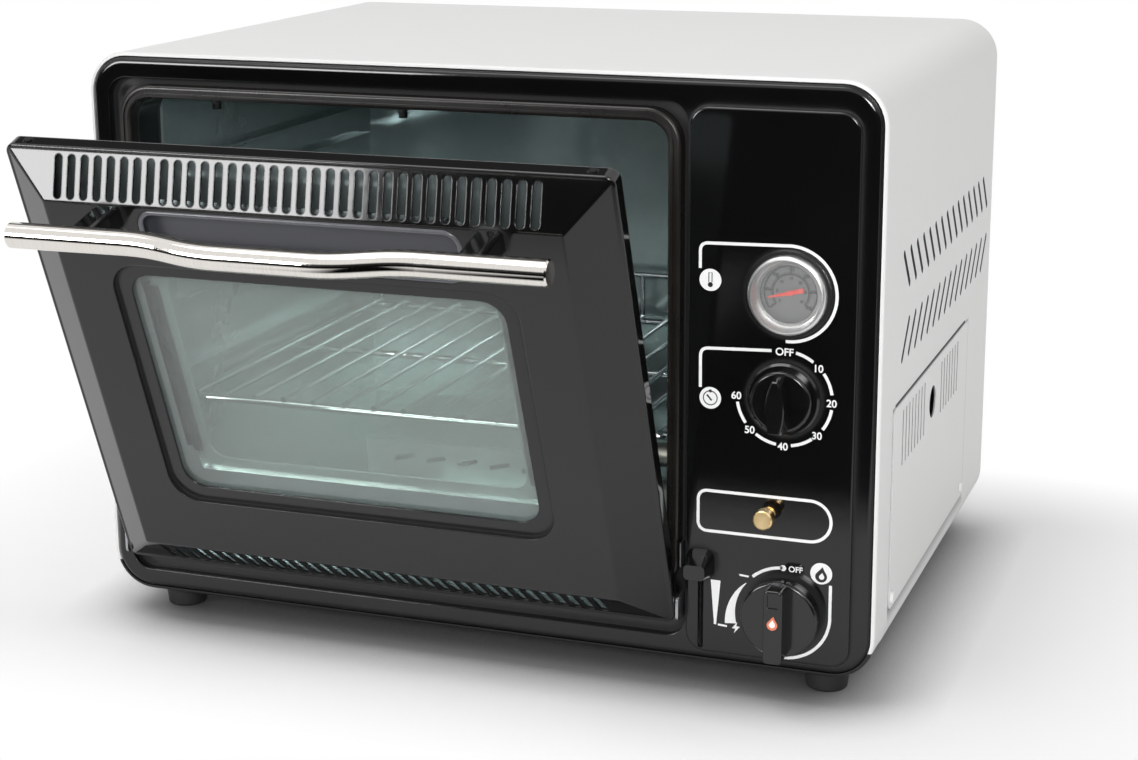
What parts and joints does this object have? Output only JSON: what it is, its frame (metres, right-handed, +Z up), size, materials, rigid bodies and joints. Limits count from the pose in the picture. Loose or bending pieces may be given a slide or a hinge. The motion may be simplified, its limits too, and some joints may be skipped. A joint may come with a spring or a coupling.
{
  "type": "gas camp oven",
  "caption": "Portable gas oven with a rounded sheet-steel casing, a drop-down glazed door, a wire rack inside and a control panel with thermometer, timer and gas knobs.",
  "frame": {"origin": "on the table under the middle of the whole object, door ajar as stored", "axes": "+X to the right seen from the front, +Y to the rear (the door and controls face -Y), +Z up"},
  "size_m": [0.4772, 0.4994, 0.3463],
  "materials": {
    "light_enamel": "satin light-grey powder coat",
    "black_enamel": "gloss black enamel",
    "door_enamel": "gloss black enamel",
    "galvanised_steel": "galvanised sheet",
    "plain_steel": "plain rolled steel",
    "chrome": "polished chrome plate",
    "brass": "turned brass",
    "copper": "drawn copper tube",
    "cast_body": "cast valve body",
    "black_plastic": "moulded black phenolic",
    "ceramic": "glazed ceramic",
    "silicone": "moulded silicone",
    "foot_rubber": "moulded rubber",
    "window_glass": "tempered glass",
    "wool": "mineral wool",
    "dial_print": "printed silver dial",
    "needle_red": "red lacquer"
  },
  "bodies": {
    "oven": {"casing_wrap": "light_enamel", "rear_panel": "plain_steel", "access_panel": "light_enamel", "case_screws": "plain_steel", "foot_front_left": "foot_rubber", "foot_front_right": "foot_rubber", "foot_rear_left": "foot_rubber", "foot_rear_right": "foot_rubber", "foot_screws": "plain_steel", "front_fascia": "black_enamel", "cavity_throat": "black_enamel", "cavity_liner": "galvanised_steel", "insulation_blanket": "wool", "door_seal": "silicone", "liner_supports": "plain_steel", "control_shield": "plain_steel", "rack_rail_left": "galvanised_steel", "rack_rail_right": "galvanised_steel", "burner_tube": "plain_steel", "burner_cover": "galvanised_steel", "burner_bracket": "plain_steel", "spark_electrode": "ceramic", "thermocouple": "copper", "gas_injector": "brass", "gas_valve": "cast_body", "timer_valve": "cast_body", "safety_valve": "brass", "piezo_igniter": "black_plastic", "gas_inlet": "brass", "gas_pipe_inlet": "copper", "gas_pipe_valves": "copper", "gas_pipe_burner": "copper", "thermometer_case": "plain_steel", "thermometer_bezel": "chrome", "thermometer_lens": "window_glass", "thermometer_dial": "dial_print", "hinge_bracket_left": "plain_steel", "hinge_bracket_right": "plain_steel", "door_catches": "plain_steel"},
    "door": {"door_outer": "door_enamel", "door_inner": "galvanised_steel", "inner_glass": "window_glass", "glass_clips": "plain_steel", "window_gasket": "silicone", "outer_glass": "window_glass", "handle_bar": "chrome", "handle_post_left": "black_plastic", "handle_post_right": "black_plastic", "door_screws": "plain_steel", "hinge_pin_left": "plain_steel", "hinge_pin_right": "plain_steel"},
    "rack": {"wire_rack": "chrome"},
    "timer_control": {"timer_knob": "black_plastic", "timer_spindle": "plain_steel"},
    "gas_stem": {"gas_spindle": "plain_steel"},
    "gas_control": {"gas_knob": "black_plastic"},
    "flame_control": {"flame_button": "brass"},
    "vent_control": {"vent_slider": "black_plastic", "damper_plate": "plain_steel"},
    "needle": {"thermometer_needle": "needle_red"}
  },
  "joints": [
    {"name": "door_hinge", "type": "hinge", "parent": "oven", "child": "door", "pos_m": [0, -0.098, 0.049], "axis": [1, 0, 0], "range_deg": [-21.3, 58.7]},
    {"name": "rack_slide", "type": "slide", "parent": "oven", "child": "rack", "axis": [0, -1, 0], "range_m": [-0.01, 0.036]},
    {"name": "timer_turn", "type": "hinge", "parent": "oven", "child": "timer_control", "pos_m": [0.1855, -0.102, 0.1745], "axis": [0, 1, 0], "range_deg": [0, 270]},
    {"name": "gas_push", "type": "slide", "parent": "oven", "child": "gas_stem", "axis": [0, 1, 0], "range_m": [0, 0.003], "stiffness_N_per_m": 1500},
    {"name": "gas_turn", "type": "hinge", "parent": "gas_stem", "child": "gas_control", "pos_m": [0.1872, -0.102, 0.0525], "axis": [0, 1, 0], "range_deg": [-240, 0]},
    {"name": "flame_button_push", "type": "slide", "parent": "oven", "child": "flame_control", "axis": [0, 1, 0], "range_m": [0, 0.005], "stiffness_N_per_m": 800},
    {"name": "vent_slide", "type": "slide", "parent": "oven", "child": "vent_control", "axis": [0, 0, -1], "range_m": [0, 0.045]},
    {"name": "needle_turn", "type": "hinge", "parent": "oven", "child": "needle", "pos_m": [0.187, -0.092, 0.232], "axis": [0, 1, 0], "range_deg": [-15, 230], "stiffness_Nm_per_rad": 0.0002}
  ]
}
